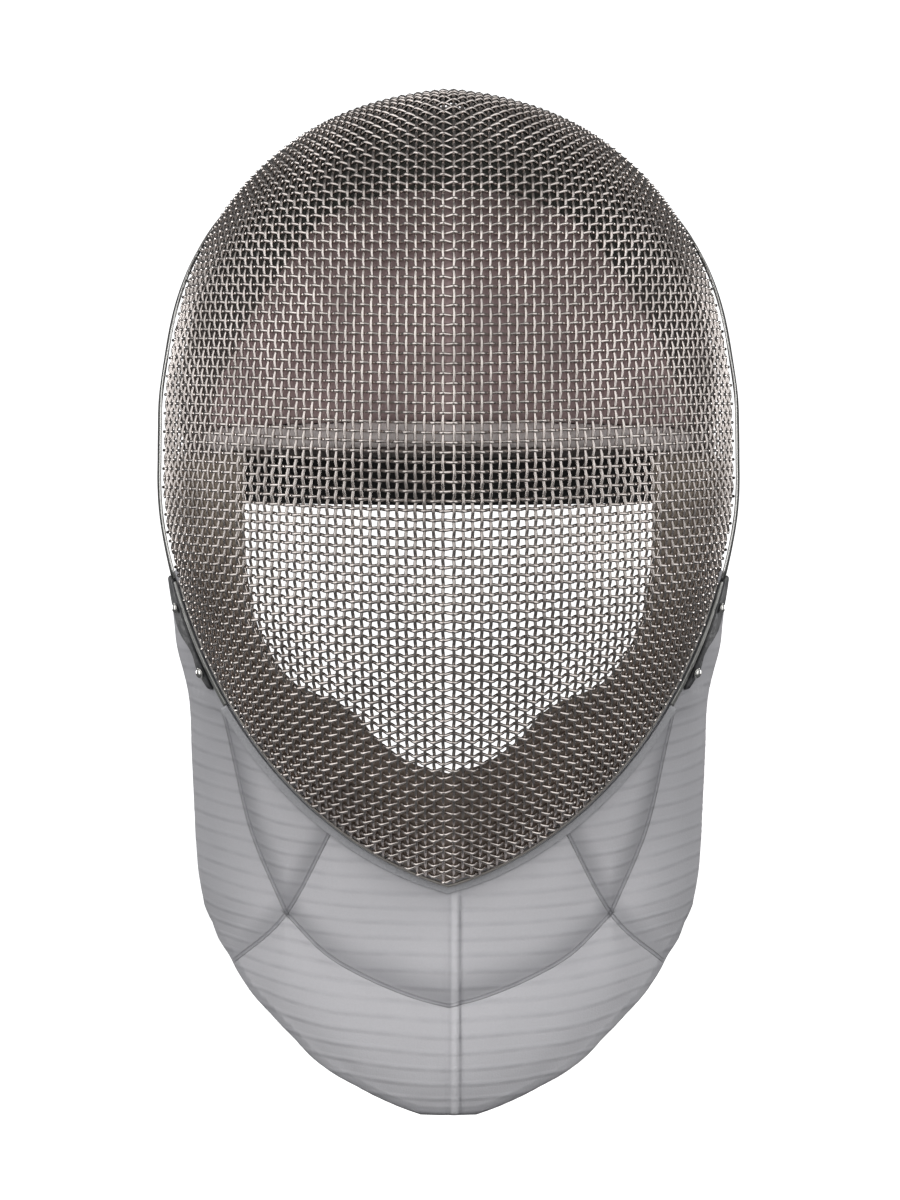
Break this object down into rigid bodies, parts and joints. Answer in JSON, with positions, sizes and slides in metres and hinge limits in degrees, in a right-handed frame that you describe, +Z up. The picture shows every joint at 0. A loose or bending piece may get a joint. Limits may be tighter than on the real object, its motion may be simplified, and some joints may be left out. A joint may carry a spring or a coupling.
{
  "type": "fencing_mask",
  "caption": "Fencing mask with a creased woven steel mesh face, an inner forehead pad and lining, a wide elastic rear strap and a pale grey quilted cloth bib riveted to the lower rim",
  "frame": {"origin": "Where the top of the wearer's head rests under the crown lining, on the middle plane", "axes": "+Z up along the mask's height, -Y the way the wearer faces, +X to the wearer's left"},
  "size_m": [0.1988, 0.2182, 0.3482],
  "materials": {
    "steel_mesh": "woven steel wire, bright with dark gaps",
    "rim_steel": "smooth bright rim band",
    "edging": "thin dark edging",
    "dark_wire": "dark edge wire",
    "pad_cloth": "mauve grey pad cover",
    "welt_cloth": "pale piped welt",
    "crown_cloth": "dark olive grey lining",
    "lining_cloth": "dark brown grey lining",
    "strap_elastic": "black woven elastic",
    "bib_cloth": "pale grey quilted cloth with fine stripes",
    "tape_cloth": "grey sewn tape",
    "tab_plastic": "charcoal, slightly glossy",
    "strip_steel": "dull grey strip",
    "rivet_steel": "bright domed rivet heads"
  },
  "bodies": {
    "root": {"wire_mesh": "steel_mesh", "rim_band": "rim_steel", "rim_edging": "edging", "chin_rim_wire": "dark_wire", "forehead_pad": "pad_cloth", "pad_welt": "welt_cloth", "crown_lining": "crown_cloth", "face_lining": "lining_cloth", "back_strap": "strap_elastic", "bib": "bib_cloth", "bib_tape": "tape_cloth", "side_tab_left": "tab_plastic", "side_tab_right": "tab_plastic", "tab_strip_left": "strip_steel", "tab_strip_right": "strip_steel", "rivet_left_1": "rivet_steel", "rivet_left_2": "rivet_steel", "rivet_right_1": "rivet_steel", "rivet_right_2": "rivet_steel"}
  },
  "joints": []
}
